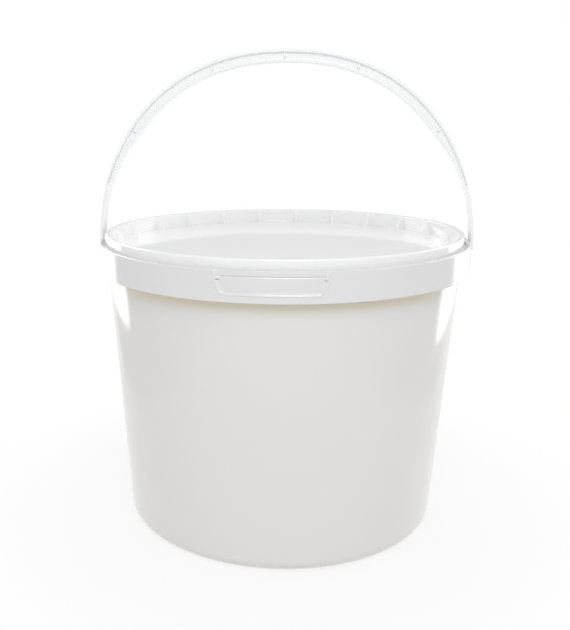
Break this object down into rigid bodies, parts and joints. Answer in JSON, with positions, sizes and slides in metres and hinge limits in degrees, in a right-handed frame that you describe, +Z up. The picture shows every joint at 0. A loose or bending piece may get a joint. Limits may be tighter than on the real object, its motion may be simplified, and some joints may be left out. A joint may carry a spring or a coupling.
{
  "type": "food bucket",
  "caption": "Round tapered food bucket with a press-on lid, a tear tab in its rim collar and a swinging bail handle.",
  "frame": {"origin": "on the ground plane, on the bucket's axis", "axes": "+Z up along the bucket's axis, the handle's hinge line along X, the tear tab facing -Y"},
  "size_m": [0.2384, 0.2343, 0.2977],
  "materials": {
    "tub_plastic": "white moulded polypropylene, glossy",
    "lid_plastic": "white moulded polypropylene, glossy",
    "handle_plastic": "white moulded polypropylene, satin gloss"
  },
  "bodies": {
    "bucket": {"tub": "tub_plastic", "lid": "lid_plastic"},
    "bail": {"handle": "handle_plastic"}
  },
  "joints": [
    {"name": "bail_swing", "type": "hinge", "parent": "bucket", "child": "bail", "pos_m": [0, 0, 0.172], "axis": [1, 0, 0], "range_deg": [-105, 105]}
  ]
}
